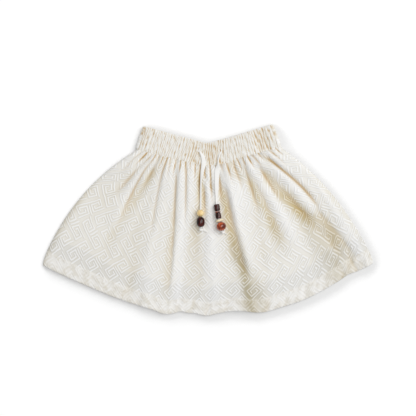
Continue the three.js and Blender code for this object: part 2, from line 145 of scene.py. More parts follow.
# Both tables go roughly from the left seam to the right one, as seen from the front.
FRONT_FOLDS = [
    Fold(0.062, 0.058, 0.052, 0.02, 0.30, -1.6, 4, 1.6, 4, 1, hides=10),
    Fold(0.088, 0.088, 0.090, 0.00, 0.22, -1.8, 3, 1.8, 3, 1),
    Fold(0.112, 0.092, 0.080, 0.03, 0.44, -2.6, 4, 2.6, 4, 1, hides=8),
    Fold(0.136, 0.149, 0.155, 0.06, 0.56, -2.6, 3, 2.6, 3, 1, hides=12),
    Fold(0.189, 0.175, 0.160, 0.10, 0.34, -1.6, 4, 1.6, 4, 1, hides=26),
    Fold(0.197, 0.152, 0.140, 0.08, 0.78, -2.0, 7, 2.0, 7, 1),
    Fold(0.236, 0.274, 0.290, 0.06, 0.60, -1.6, 3.5, 1.6, 3.5, 1, hides=10),
    Fold(0.338, 0.369, 0.366, 0.06, 0.60, 1.0, 12, 2.2, 4.5, 1, hides=20),
    Fold(0.338, 0.369, 0.366, 0.48, 0.98, 1.0, 16, 1.6, 10, 1, hides=10),
    Fold(0.398, 0.418, 0.430, 0.02, 0.46, -2.4, 3, 2.4, 3, 1, hides=10),
    Fold(0.476, 0.484, 0.484, 0.07, 0.36, -2.2, 3, 2.2, 3, 1, hides=14),
    Fold(0.490, 0.494, 0.490, 0.06, 0.44, -1.4, 8, 1.4, 8, 1),
    Fold(0.500, 0.509, 0.510, 0.14, 0.44, -2.6, 3, 2.6, 3, 1),
    Fold(0.496, 0.474, 0.462, 0.40, 1.30, -0.5, 8, 0.5, 11, 1),
    Fold(0.523, 0.530, 0.535, 0.04, 1.00, 1.4, 9, -1.4, 9, 1),
    Fold(0.485, 0.680, 0.875, 0.03, 0.26, -1.4, 2.5, 1.4, 2.5, 1),
    Fold(0.540, 0.545, 0.550, 0.08, 0.34, -2.2, 3, 2.2, 3, 1),
    Fold(0.548, 0.546, 0.542, 0.42, 1.30, 1.8, 20, -1.8, 18, 1),
    Fold(0.598, 0.575, 0.560, 0.05, 0.34, -2.6, 3.5, 2.6, 3.5, 1, hides=8),
    Fold(0.630, 0.635, 0.645, 0.40, 1.30, 2.6, 40, -2.6, 34, 1),
    Fold(0.624, 0.629, 0.642, 0.14, 0.84, 2.0, 26, 3.6, 18, 1, step=3.0, hides=34),
    Fold(0.624, 0.629, 0.640, 0.66, 1.30, -2.4, 12, 2.4, 14, 1, step=3.0),
    Fold(0.695, 0.700, 0.700, 0.08, 0.32, -1.2, 4, 1.2, 4, 1),
    Fold(0.745, 0.722, 0.750, 0.02, 0.44, -2.0, 2.5, 2.0, 2.5, 1, hides=20),
    Fold(0.738, 0.757, 0.720, 0.14, 0.66, -3.4, 7, 3.4, 9, 1, hides=12),
    Fold(0.765, 0.787, 0.790, 0.05, 0.80, 1.2, 6, -1.2, 5, 1),
    Fold(0.803, 0.807, 0.815, 0.12, 0.44, -1.6, 2.5, 1.6, 2.5, 1),
    Fold(0.850, 0.862, 0.875, 0.30, 1.30, 3.6, 48, -3.6, 48, 1),
    Fold(0.800, 0.856, 0.925, 0.12, 0.90, -4.4, 9, 4.4, 13, 1, hides=20),
    Fold(0.850, 0.878, 0.890, 0.54, 1.30, -3.6, 21, 3.6, 21, 1),
    Fold(0.800, 0.852, 0.900, 0.44, 1.06, -1.2, 4, 1.2, 4, 1),
    Fold(0.846, 0.890, 0.935, 0.50, 1.10, -1.4, 4, 1.4, 4, 1),
    Fold(0.858, 0.904, 0.840, 0.02, 0.60, -3.6, 3.5, 3.6, 3.5, 1, hides=20),
    Fold(0.858, 0.862, 0.866, 0.84, 1.30, -1.8, 7, 1.8, 7, 1),
    Fold(0.905, 0.908, 0.912, 0.88, 1.30, -2.0, 4, 2.0, 4, 1),
    Fold(0.957, 0.957, 0.957, 0.40, 1.30, 1.4, 8, -1.4, 9, 1),
]

BACK_FOLDS = [
    Fold(0.12, 0.14, 0.16, 0.0, 0.70, 2.8, 9, 0, 4.5, 1, hides=20),
    Fold(0.27, 0.28, 0.30, 0.0, 1.30, 3.2, 13, 0, 6.5, 1, hides=40),
    Fold(0.41, 0.42, 0.42, 0.0, 0.55, 2.6, 8, 0, 4, -1, hides=20),
    Fold(0.60, 0.61, 0.63, 0.0, 1.30, 3.4, 14, 0, 7, -1, hides=40),
    Fold(0.74, 0.75, 0.76, 0.0, 0.60, 2.6, 9, 0, 4.5, 1, hides=20),
    Fold(0.88, 0.87, 0.87, 0.0, 0.85, 2.8, 10, 0, 5, -1, hides=20),
]


class Broad(NamedTuple):
    """A broad place of the front that gets a painted shade between its folds, or a painted
    highlight where it is high. It runs straight down the panel from (top, begins) to (foot,
    ends), with a half width and a strength, all as shares."""

    top: float
    begins: float
    foot: float
    ends: float
    half: float
    share: float


PAINTED_SHADE_PLACES = [
    Broad(0.170, -0.40, 0.170, 0.90, 0.170, 0.07),  # all of the left third, slightly
    Broad(0.008, 0.42, 0.008, 1.20, 0.014, 0.40),
    Broad(0.600, 0.18, 0.606, 0.62, 0.015, 0.52),
    Broad(0.620, 0.50, 0.627, 1.40, 0.018, 1.00),
    Broad(0.652, 0.76, 0.655, 1.30, 0.016, 0.42),
    Broad(0.738, 0.12, 0.755, 0.62, 0.015, 0.50),
    Broad(0.826, 0.30, 0.850, 0.58, 0.021, 0.56),
    Broad(0.838, 0.52, 0.868, 1.20, 0.027, 0.55),
    Broad(0.988, 0.35, 0.988, 1.20, 0.022, 0.22),
]

PAINTED_HIGHLIGHT_PLACES = [
    Broad(0.480, -0.30, 0.480, 0.34, 0.380, 0.26),  # a painted highlight on the gathers, where they catch the light
    Broad(0.320, 0.05, 0.325, 0.55, 0.014, 0.30),
    Broad(0.405, 0.35, 0.400, 1.20, 0.022, 0.80),
    Broad(0.500, 0.40, 0.465, 1.20, 0.020, 0.16),
    Broad(0.525, 0.38, 0.535, 1.20, 0.028, 0.50),
    Broad(0.690, 0.10, 0.690, 0.55, 0.030, 0.20),
    Broad(0.785, 0.35, 0.775, 1.30, 0.024, 0.20),
    Broad(0.720, 0.75, 0.740, 1.50, 0.060, 0.25),
    Broad(0.955, 0.30, 0.960, 0.95, 0.016, 0.20),
]


class Place(NamedTuple):
    """A place on a free end of the tape, seen from above: the tape's width there, and how
    far it is twisted, in degrees."""

    x: float
    y: float
    wide: float
    turn: float


class Bead(NamedTuple):
    """A bead turned round its hole, fuller in the shoulders as its power rises."""

    name: str
    at: tuple
    radius: float
    half: float
    power: float
    finish: str


class End(NamedTuple):
    """A free end of the drawstring: the way it takes from its buttonhole, the cut tail of its
    knot, and its beads."""

    side: str
    route: list
    tail: list
    beads: list


BUTTONHOLE = (3.4, 9.0)  # outside its stitching
SLIT_DEPTH = 1.2
TAPE_WIDTH = 6.2
TAPE_FOLDED = 2.8  # its width where it is folded up lengthwise
BEAD_BORE = 2.0  # the radius of the hole
KNOT_RADIUS = 2.6

ENDS = [
    End(
        "left",
        [
            Place(-13.0, 98.6, 2.8, 35),
            Place(-10.6, 94.4, 3.0, 25),
            Place(-7.0, 88.0, 5.6, 8),
            Place(-6.0, 79.0, 6.2, 0),
            Place(-8.4, 66.0, 4.6, -12),
            Place(-9.8, 54.0, 2.8, -30),
            Place(-10.2, 38.0, 2.7, -20),
            Place(-10.3, 22.0, 2.7, -30),
            Place(-10.6, 9.4, 2.6, -30),
            Place(-10.2, -2.9, 2.6, -30),
            Place(-9.9, -10.9, 2.6, -30),
        ],
        [(-8.0, -13.8), (-5.0, -15.4), (-1.8, -17.0)],
        [
            Bead("round", (-10.6, 9.4), 5.2, 4.8, 2.0, "pale_wood"),
            Bead("barrel", (-10.2, -2.9), 5.8, 7.1, 2.5, "dark_wood"),
        ],
    ),
    End(
        "right",
        [
            Place(17.4, 95.8, 2.6, -30),
            Place(15.6, 90.0, 2.6, -40),
            Place(14.0, 81.0, 2.9, -60),
            Place(13.0, 70.0, 6.8, -8),
            Place(12.2, 58.0, 6.4, 5),
            Place(12.0, 44.0, 5.4, 10),
            Place(11.9, 30.0, 3.4, 20),
            Place(12.0, 22.4, 2.6, 20),
            Place(12.6, 16.9, 2.6, 20),
            Place(14.4, 5.9, 2.6, 20),
            Place(15.9, -0.5, 2.6, 20),
            Place(18.3, -8.4, 2.6, 20),
            Place(20.3, -14.6, 2.6, 20),
        ],
        [(22.0, -17.4), (24.2, -19.0), (26.8, -20.6)],
        [
            Bead("tube_upper", (12.6, 16.9), 4.1, 4.8, 6.0, "dark_wood"),
            Bead("spacer", (13.4, 11.2), 4.1, 0.55, 4.0, "red_wood"),
            Bead("tube_lower", (14.4, 5.9), 4.0, 4.35, 6.0, "dark_wood"),
            Bead("disc", (15.9, -0.5), 5.3, 1.75, 3.0, "bone_wood"),
            Bead("round", (18.3, -8.4), 6.8, 6.05, 2.1, "red_wood"),
        ],
    ),
]


# ------------------------------------------------------------------ small helpers


def smoothstep(low, high, x):
    share = np.clip((x - low) / (high - low), 0, 1)
    return share * share * (3 - 2 * share)


def lerp(a, b, share):
    return a + (b - a) * share


def spline(points, share):
    """Places at these shares of a smooth line through evenly spaced points."""
    points = np.array(points, float)
    last = len(points) - 1
    reach = np.clip(np.asarray(share, float), 0, 1) * last
    start = np.minimum(reach.astype(int), last - 1)
    w = (reach - start)[..., None]
    before, a = points[np.maximum(start - 1, 0)], points[start]
    b, after = points[start + 1], points[np.minimum(start + 2, last)]
    into, out = (b - before) / 2, (after - a) / 2
    return (2 * a - 2 * b + into + out) * w**3 + (3 * b - 3 * a - 2 * into - out) * w**2 + into * w + a


def lengths_along(line):
    """How far along a line each of its points is."""
    return np.concatenate([[0], np.cumsum(np.linalg.norm(np.diff(line, axis=0), axis=1))])


def section_line(name, share):
    return spline([getattr(section, name) for section in SECTIONS], share)


def width_at(t):
    return lerp(WAIST_WIDTH, HEM_WIDTH, t)


def creep(u):
    """Gathers aren't evenly spaced: how far each lies from its even place."""
    return 0.007 * np.sin(2 * np.pi * 3.3 * u) * np.sin(np.pi * u)


def uneven(u):
    """From a count of gathers to a share of the width."""
    return u + creep(u)


def wander(x, seed):
    """A smooth uneven line between about -1 and 1, the same each time."""
    rng = np.random.default_rng(seed)
    return sum(
        np.sin(2 * np.pi * (x * 2**k * rng.uniform(0.8, 1.25) + rng.uniform())) / 1.6**k
        for k in range(3)
    ) / 1.8


# ------------------------------------------------------------------ the cloth's form


def on_table(s, t):
    """Places seen from above, at share s across a panel and t down it."""
    s, t = np.broadcast_arrays(s, t)
    seam, hem = section_line("seam", s), section_line("hem", s)
    for wave in HEM_WAVES:
        hem[..., 1] -= wave.down * np.exp(-(((s - wave.at) * HEM_WIDTH / wave.reach) ** 2))
    middle = (seam + hem) / 2 + section_line("bow", s)
    w = t[..., None]
    place = (1 - w) ** 2 * seam + 2 * w * (1 - w) * middle + w**2 * hem
    side = np.minimum(s, 1 - s) * width_at(t)
    corner = CORNER_ROUND * np.exp(-(side + (1 - t) * PANEL_LENGTH) / CORNER_REACH)
    place[..., 0] += np.where(s < 0.5, corner, -corner)
    place[..., 1] += 0.4 * corner
    return place


def past_fold(fold, s, t):
    """How far across, on the high side of the fold's line."""
    top, middle, foot = (1 - t) * (1 - 2 * t), 4 * t * (1 - t), t * (2 * t - 1)
    line = top * fold.top + middle * fold.middle + foot * fold.foot
    return (s - line) * width_at(t) * fold.facing


def fold_shows(fold, t):
    """A fold comes up quickly at its start and dies out slowly towards its end."""
    comes = smoothstep(fold.start - 0.06, fold.start + 0.05, t)
    goes = smoothstep(fold.end - 0.24, fold.end, t)
    return comes * (1 - goes)


def fade(distance, reach):
    """1 on a fold's line and 0 well past its reach, with a rounded flank."""
    return np.exp(-((distance / reach) ** 1.6))


def front_fold(fold, s, t):
    """The step of a fold of the front: a crest on its high side and a trough on the other."""
    past = past_fold(fold, s, t)
    high = 0.5 * (1 + np.tanh(past / fold.step))
    crest = fold.rise * fade(np.maximum(past, 0), fold.over)
    trough = fold.drop * fade(np.maximum(-past, 0), fold.under)
    return fold_shows(fold, t) * (high * crest - (1 - high) * trough)


def back_fold(fold, s, t, spread):
    """A fold of the back lifts it off the table as a ridge."""
    past = past_fold(fold, s, t)
    reach = spread * np.where(past > 0, fold.over, fold.under)
    return fold_shows(fold, t) * fold.rise * fade(np.abs(past), reach)


def roll(s, t, width):
    """0 on a side seam and 1 past its roll, as a quarter of an ellipse."""
    share = np.clip(np.minimum(s, 1 - s) * width_at(t) / width, 0, 1)
    return np.sqrt(1 - (1 - share) ** 2)


def ribs(u, v):
    """The elastic's fine ribs at share u across. v runs down through them, and they wander,
    part and fade as it does."""
    parting = 0.9 * wander(u * 5 + 0.3 * v, 21) * (v - 0.5)
    count = RIBS * u + parting + 0.45 * wander(u * 13 + 0.8 * v, 22)
    crest = np.abs(np.cos(np.pi * count)) ** 0.9
    size = 0.75 + 0.5 * wander(u * 23 + 1.3 * v, 8) + 0.45 * wander(u * 11 - 2.1 * v, 9)
    return np.clip(size, 0.05, 1.5) * (crest - 0.64)


def gathers(u, t):
    """Small pleats under the casing: round on top, sharp between, each of its own length.
    The finest carry on the casing's ribs."""
    count = u * GATHERS
    crest = np.abs(np.cos(np.pi * count)) ** 0.7
    length = GATHER_LENGTH * (1 + 0.75 * wander(count / 7, 5))
    height = GATHER_HEIGHT * (1 + 0.5 * wander(count / 5, 11)) * smoothstep(0, 0.05, t)
    large = height * (crest - 0.62) * np.exp(-((t / length) ** 1.2))
    return large + 1.1 * ribs(u, 1 + 2 * t) * np.exp(-((t / GATHER_LENGTH) ** 1.2))


def back_under(u, t, spread=1.0):
    """Height of the back panel's underside, or of something spread softly over it."""
    s = uneven(u)
    folds = sum(back_fold(fold, s, t, spread) for fold in BACK_FOLDS)
    gathered = (0.9 + 0.6 * np.cos(2 * np.pi * GATHERS * u)) * np.exp(-t / 0.05)
    return np.maximum(0, folds + gathered - 0.3) * roll(s, t, SIDE_ROLL)


def puff(t):
    """How high the front stands off the back between its folds: most just under the casing."""
    return 2.6 + 4.6 * np.exp(-(((t - 0.1) / 0.16) ** 2)) + 2.2 * (1 - t) * smoothstep(0, 0.1, t)


def front_top(u, t):
    """Height of the front panel's face over the table. It lies softly on the back's folds."""
    s = uneven(u)
    folds = sum(front_fold(fold, s, t) for fold in FRONT_FOLDS)
    ripples = 0.35 * wander(s * 9 + 0.6 * t, 3) * smoothstep(0.1, 0.4, t)
    hem_ripples = 0.45 * wander(s * 17 + 3.4 * t, 7) * smoothstep(0.89, 0.95, t)
    free = puff(t) + folds + gathers(u, t) + (ripples + hem_ripples)
    lowest = 1.5  # below this the cloth comes ever more softly to rest on the back
    free = np.where(free > lowest, free, lowest * np.exp(np.minimum(free - lowest, 0) / lowest))
    lift = 0.7 + free * roll(s, t, SIDE_ROLL)
    return back_under(u, t, 2.0) + 2 * CLOTH + SEAM_GAP + lift


def broad_places(table, s, t):
    """How much the broad places of a table show over the front, from 0 to 1."""
    total = 0
    for place in table:
        along = (t - place.begins) / (place.ends - place.begins)
        middle = place.top + (place.foot - place.top) * along
        inside = smoothstep(-0.2, 0.2, along) * smoothstep(1.2, 0.8, along)
        total = total + place.share * inside * np.exp(-(((s - middle) / place.half) ** 2))
    return total


def beside(u, t, *reaches):
    """The front's mean height this far to either side of a place."""
    offsets = [side * reach for reach in reaches for side in (-1, 1)]
    heights = (front_top(np.clip(u + off / width_at(t), 0.01, 0.99), t) for off in offsets)
    return sum(heights) / len(offsets)


# ------------------------------------------------------------------ meshes


def new_piece(name, bm, material):
    """A finished object of this mesh, in place."""
    mesh = bpy.data.meshes.new(name)
    bm.to_mesh(mesh)
    bm.free()
    mesh.shade_smooth()
    mesh.materials.append(material)
    obj = bpy.data.objects.new(name, mesh)
    bpy.context.scene.collection.objects.link(obj)
    return obj


def grid_sheet(columns, rows):
    """A flat grid, with each vertex's shares across and down it."""
    bm = bmesh.new()
    bmesh.ops.create_grid(bm, x_segments=columns, y_segments=rows, size=0.5)
    flat = np.array([vertex.co for vertex in bm.verts])
    return bm, flat[:, 0] + 0.5, 0.5 - flat[:, 1]


def set_places(bm, places):
    for vertex, place in zip(bm.verts, places * MM):
        vertex.co = place


def set_uv(bm, across, down):
    """Cloth coordinates in metres: along the weft and down the warp."""
    layer = bm.loops.layers.uv.new("cloth")
    bm.verts.index_update()
    for face in bm.faces:
        for loop in face.loops:
            i = loop.vert.index
            loop[layer].uv = (across[i] * MM, down[i] * MM)


def join_ring(bm):
    """Closes a grid whose first and last columns or rows fell on the same places."""
    bmesh.ops.remove_doubles(bm, verts=bm.verts, dist=1e-7)
    bmesh.ops.recalc_face_normals(bm, faces=bm.faces)


def thicken(obj, thickness, group=""):
    """Gives a face its cloth, inwards. Weights in the group say how much of it."""
    wall = obj.modifiers.new("cloth", "SOLIDIFY")
    wall.thickness = thickness * MM
    wall.offset = -1
    wall.vertex_group = group


def weigh(obj, name, weights):
    """A vertex group with a weight at each vertex."""
    group = obj.vertex_groups.new(name=name)
    for index, weight in enumerate(weights):
        group.add([index], float(weight), "REPLACE")


def paint(obj, name, values):
    """A value at each vertex, for the materials."""
    layer = obj.data.attributes.new(name, "FLOAT", "POINT")
    layer.data.foreach_set("value", np.asarray(values, np.float32))


# ------------------------------------------------------------------ materials


class Value:
    """A number that changes over a surface. Sums on it add Math nodes."""

    def __init__(self, finish, socket):
        self.finish, self.socket = finish, socket

    def math(self, operation, *others):
        return self.finish.node("Math", {"operation": operation}, self, *others)

    def __add__(self, other):
        return self.math("ADD", other)

    def __mul__(self, other):
        return self.math("MULTIPLY", other)

    def __sub__(self, other):
        return self.math("SUBTRACT", other)

    def __rsub__(self, other):
        return self.finish.node("Math", {"operation": "SUBTRACT"}, other, self)

    def __mod__(self, other):
        return self.math("FLOORED_MODULO", other)

    def __pow__(self, other):
        return self.math("POWER", other)

    def __abs__(self):
        return self.math("ABSOLUTE")

    def __floor__(self):
        return self.math("FLOOR")

    __radd__, __rmul__ = __add__, __mul__

    def at_least(self, other):
        return self.math("MAXIMUM", other)

    def at_most(self, other):
        return self.math("MINIMUM", other)

    def is_near(self, number):
        return self.math("COMPARE", number, 0.5)

    def wave(self, length):
        """Up and down between 0 and 1, once in each length."""
        return (self * (2 * math.pi / length)).math("SINE") * 0.5 + 0.5

    def between(self, low, high):
        """0 at low and below, 1 at high and above, smooth between."""
        settings = {"interpolation_type": "SMOOTHSTEP"}
        return self.finish.node("MapRange", settings, self, low, high, 0.0, 1.0)


class Finish:
    """A material and the nodes that make it."""

    def __init__(self, name, roughness, **constants):
        self.material = bpy.data.materials.new(name)
        self.material.use_nodes = True
        self.tree = self.material.node_tree
        self.surface = self.tree.nodes["Principled BSDF"]
        self.surface.inputs["Roughness"].default_value = roughness
        for socket, value in constants.items():
            self.surface.inputs[socket.replace("_", " ")].default_value = value

    def node(self, kind, settings=None, *inputs, output=0, **named):
        """A node of this kind, and the value that comes out of it. Inputs are numbers, colours,
        vectors or other values, given in the order of the node's sockets or by their names."""
        node = self.tree.nodes.new("ShaderNode" + kind)
        for key, value in (settings or {}).items():
            setattr(node, key, value)
        given = dict(zip([s for s in node.inputs if s.enabled], inputs))
        given |= {node.inputs[name.replace("_", " ")]: value for name, value in named.items()}
        for socket, value in given.items():
            if isinstance(value, Value):
                self.tree.links.new(value.socket, socket)
            elif value is not None:
                socket.default_value = value
        if isinstance(output, str):
            return Value(self, node.outputs[output])
        return Value(self, [s for s in node.outputs if s.enabled][output])

    def attribute(self, name):
        """What paint() left on the piece, or 0 where it has none of that name."""
        return self.node("Attribute", {"attribute_name": name}, output="Fac")

    def noise(self, vector, scale, detail=3.0, roughness=0.55):
        sockets = dict(Vector=vector, Scale=scale, Detail=detail, Roughness=roughness)
        return self.node("TexNoise", None, **sockets, output="Fac")

    def blend(self, share, first, second):
        """Between two colours."""
        return self.node("Mix", {"data_type": "RGBA"}, share, first, second)

    def tint(self, share, color, tone):
        """A colour darkened towards its product with a tone."""
        return self.node("Mix", {"data_type": "RGBA", "blend_type": "MULTIPLY"}, share, color, tone)

    def shade(self, socket, value):
        """Feeds a socket of the surface's shader."""
        self.tree.links.new(value.socket, self.surface.inputs[socket])

    def relief(self, height, depth):
        """Raises the surface by height times depth, in millimetres."""
        self.shade("Normal", self.node("Bump", None, Strength=1.0, Distance=depth * MM, Height=height))


def srgb(*channels):
    """A colour as the eye reads it, red, green and blue from 0 to 255, made linear."""
    shares = [channel / 255 for channel in channels]
    linear = [c / 12.92 if c <= 0.04045 else ((c + 0.055) / 1.055) ** 2.4 for c in shares]
    return (*linear, 1.0)


class Bar(NamedTuple):
    """A straight line of the key pattern, in units of its pitch."""

    x: tuple
    y: tuple


# Half of the key: one spiral in a square of six units, and the line that leaves it.
KEY_BARS = [
    Bar((1, 6), (1, 1)),
    Bar((1, 1), (1, 4)),
    Bar((1, 4), (4, 4)),
    Bar((4, 4), (3, 4)),
    Bar((0, 5), (5, 5)),
    Bar((5, 5), (2, 5)),
    Bar((2, 5), (2, 2)),
    Bar((2, 2), (2, 3)),
    Bar((6, 6), (2, 6)),
]
KEY_SQUARE = 6.0  # its side, in the same units


def key_pattern(finish, cloth):
    """1 on the lines of a Greek key, woven in relief, and 1 close beside them, where a painted
    shade of the relief lies. Its squares lie on the bias, two to a key, and the keys are laid as a
    herringbone, each turned against the next.
    The weave wavers a little, as real cloth does."""
    waver = finish.node("TexNoise", None, Vector=cloth, Scale=40.0, Detail=2.0, output="Color")
    amount = (0.0045, 0.0045, 0.0)
    cloth = finish.node("VectorMath", {"operation": "MULTIPLY_ADD"}, waver, amount, cloth)
    scale = (1 / (KEY_SQUARE * KEY_UNIT * MM),) * 3
    bias = finish.node("Mapping", None, Vector=cloth, Rotation=(0, 0, math.radians(45)), Scale=scale)
    x = finish.node("SeparateXYZ", None, bias, output="X")
    y = finish.node("SeparateXYZ", None, bias, output="Y")
    column, row = math.floor(x), math.floor(y)
    across, up = x - column, y - row
    turn = (column - row) % 4.0
    plain, mirrored, upright, laid = (turn.is_near(float(k)) for k in range(4))
    key_x = across * plain + (1 - across) * mirrored + (1 - up) * upright + up * laid
    key_y = up * (plain + mirrored) + across * (upright + laid)
    nearest = None
    for bar in KEY_BARS:
        half_x, half_y = abs(bar.x[1] - bar.x[0]) / 2, abs(bar.y[1] - bar.y[0]) / 2
        off_x = (abs(key_x * KEY_SQUARE - sum(bar.x) / 2) - half_x).at_least(0.0)
        off_y = (abs(key_y * KEY_SQUARE - sum(bar.y) / 2) - half_y).at_least(0.0)
        off = off_x * off_x + off_y * off_y
        nearest = off if nearest is None else nearest.at_most(off)
    line = 1 - nearest.between(0.01, 0.12)
    # painted shade close beside the key's lines
    shadow = nearest.between(0.03, 0.14) * (1 - nearest.between(0.14, 0.4))
    return line, shadow


COTTON = {
    "shaded ground": srgb(228, 224, 214),
    "ground": srgb(233, 230, 222),
    "painted shade beside the key": srgb(214, 207, 188),
    "key": srgb(248, 249, 250),
    "raised": srgb(248, 248, 248),
    "shade_above_hem": srgb(246, 247, 249),
    "turned": srgb(242, 241, 239),
    "ruffled": srgb(238, 235, 228),
    "painted_fold_shade": srgb(219, 202, 152),
    "painted_fold_shade_below": srgb(203, 195, 171),
    "painted_valley_shade": srgb(243, 222, 174),
    "painted_crease_shade": srgb(211, 177, 122),
}


def figured_cotton():
    """Ivory cotton with the key woven in relief, with a warm painted shade down in its folds and
    creases, a painted highlight on its crests and a painted shade beside the key's lines. Its hem
    is whiter and ruffled, where it is double, and has a cooler painted shade just above that,
    over the layer inside. The key shows less on the hem and where the elastic shirrs the cloth."""
    finish = Finish("ivory figured cotton", roughness=0.92, Sheen_Weight=0.2, Sheen_Roughness=0.5)
    finish.surface.inputs["Specular IOR Level"].default_value = 0.2
    cloth = finish.node("UVMap", {"uv_map": "cloth"})
    key, shadow = key_pattern(finish, cloth)
    threads = finish.noise(cloth, 1500.0, detail=2.0)
    slubs = finish.noise(cloth, 160.0, detail=4.0)
    cloud = finish.noise(cloth, 14.0, detail=2.0)
    plain = finish.blend(cloud.between(0.3, 0.7), COTTON["shaded ground"], COTTON["ground"])
    # the ground is darkened by a painted shade beside the key's lines
    ground = finish.blend(shadow * 0.4, plain, COTTON["painted shade beside the key"])
    turned = finish.attribute("turned")
    shown = key * (1 - turned * 0.35) * (1 - finish.attribute("shirred") * 0.55) + turned * 0.2
    figured = finish.blend(shown * 0.6 + slubs * 0.16, ground, COTTON["key"])
    # painted highlight: crests of the folds and ribs blended towards white
    raised = finish.blend(finish.attribute("raised") * 0.62, figured, COTTON["raised"])
    # a cooler painted shade above the hem, over the layer inside
    shade_above_hem = finish.attribute("shade_above_hem") * (1 - shown * 0.7)
    inner = finish.tint(shade_above_hem, raised, COTTON["shade_above_hem"])
    double = finish.blend(turned * 0.5, inner, COTTON["turned"])
    ruffle = finish.noise(cloth, 95.0, detail=3.0)
    ruffled = turned * ruffle.between(0.44, 0.6) * 0.75
    color = finish.tint(ruffled, double, COTTON["ruffled"])
    off_key = 1 - shown * 0.4  # the painted shade of the folds lies less on the key in relief
    # painted shade: warm in the folds, dim below, in the valleys and in the creases
    for place, share in (("painted_fold_shade", off_key), ("painted_fold_shade_below", off_key), ("painted_valley_shade", 0.6), ("painted_crease_shade", 0.75)):
        color = finish.tint(finish.attribute(place) * share, color, COTTON[place])
    finish.shade("Base Color", color)
    finish.relief(shown * 0.8 + threads * 0.12 + slubs * 0.4 + ruffle * turned * 2.3, 0.42)
    return finish.material


def woven_tape():
    """Soft ivory tape, ribbed across and twilled."""
    finish = Finish("ivory woven tape", roughness=0.85, Sheen_Weight=0.3, Sheen_Roughness=0.5)
    cloth = finish.node("UVMap", {"uv_map": "cloth"})
    along = finish.node("SeparateXYZ", None, cloth, output="Y")
    across = finish.node("SeparateXYZ", None, cloth, output="X")
    rib = along.wave(0.0008)
    twill = (across + along).wave(0.0011)
    fuzz = finish.noise(cloth, 900.0, detail=3.0)
    # lighter in patches of fuzz and along the crests of its ribs
    fuzz_and_ribs = fuzz * 0.6 + rib * 0.2
    finish.shade("Base Color", finish.blend(fuzz_and_ribs, srgb(238, 237, 234), srgb(249, 248, 246)))
    finish.relief(rib * 0.5 + twill * 0.3 + fuzz * 0.4, 0.12)
    return finish.material


class Wood(NamedTuple):
    """A polished wood and the slot it fills: two colours as the eye reads them, how wide its
    streaks are in metres, its roughness and its coat of lacquer."""

    slot: str
    name: str
    light: tuple
    dark: tuple
    streak: float
    roughness: float
    coat: float


WOODS = [
    Wood("pale_wood", "pale turned wood", (250, 226, 172), (236, 202, 138), 0.004, 0.35, 0.3),
    Wood("dark_wood", "black lacquered wood", (8, 5, 4), (84, 27, 18), 0.003, 0.2, 0.16),
    Wood("red_wood", "red marbled wood", (212, 96, 46), (64, 10, 8), 0.0045, 0.2, 0.5),
    Wood("bone_wood", "cream polished wood", (250, 238, 208), (240, 218, 174), 0.003, 0.35, 0.4),
]


def turned_wood(wood):
    """Its grain lies along the hole, with fine pores."""
    finish = Finish(wood.name, wood.roughness, Coat_Roughness=0.08, Coat_Weight=wood.coat)
    finish.surface.inputs["Specular IOR Level"].default_value = 0.3
    place = finish.node("TexCoord", output="Object")
    drawn_out = finish.node("Mapping", None, Vector=place, Scale=(1.0, 0.3, 1.0))
    streaks = finish.noise(drawn_out, 1 / wood.streak, detail=4.0, roughness=0.6)
    pores = finish.noise(drawn_out, 9000.0, detail=1.0)
    grain = streaks.between(0.36, 0.64)
    marked = grain * 0.85 + pores * 0.15
    finish.shade("Base Color", finish.blend(marked, srgb(*wood.light), srgb(*wood.dark)))
    finish.relief(pores * 0.7 + grain * 0.3, 0.03)
    return finish.material


cotton = figured_cotton()
tape_cloth = woven_tape()
bead_woods = {wood.slot: turned_wood(wood) for wood in WOODS}


# ------------------------------------------------------------------ front and back panels

HEM_ROWS = [0.989, 0.992, 0.995, 0.9975, 1.0]  # close together round the hem's fold
ROWS = np.concatenate([np.linspace(0, 1, 128) ** 1.2 * 0.985, HEM_ROWS])
EDGE_ROLL = 5.0  # how far in from a side seam the cloth bends down to it
EDGE_HEIGHT = 1.5
HEM_ROLL = 2.4  # the hem's fold is round
HEM_DROP = 1.1
SEWN_IN = 8.8  # the front's top edge goes down into the casing's seam
UNDER_CASING = 1.2  # and this far up under the casing


def finer_at_sides(share):
    """Puts the outer columns of a grid closer together."""
    return np.interp(share, [0, 0.04, 0.96, 1], [0, 0.012, 0.988, 1])


def from_middle(s, t):
    """How far (s, t) is from the middle of the cloth, measured along its row."""
    rows = 24
    shares = np.linspace(0, 1, 161)
    measured = []
    for row in np.linspace(0, 1, rows + 1):
        length = lengths_along(on_table(shares, np.full_like(shares, row)))
        measured.append(np.interp(s, shares, length) - np.interp(0.5, shares, length))
    above = np.clip(np.floor(t * rows), 0, rows - 1).astype(int)
    points = np.arange(len(s))
    measured = np.array(measured)
    return lerp(measured[above, points], measured[above + 1, points], t * rows - above)


def cloth_across(folds, u, t):
    """Where the weave is across the cloth, with what each fold hides."""
    s = uneven(u)
    across = from_middle(s, t)
    for fold in folds:
        right = 0.5 * np.tanh(past_fold(fold, s, t) * fold.facing / fold.step)
        across = across + fold.hides * right * np.clip(1 - t / min(fold.end, 1), 0, 1)
    return across


def turned_up(t):
    """1 where the cloth is double, from the hem's fold up to its stitches."""
    return smoothstep(TURN_UP + 1, TURN_UP - 1, (1 - t) * PANEL_LENGTH)


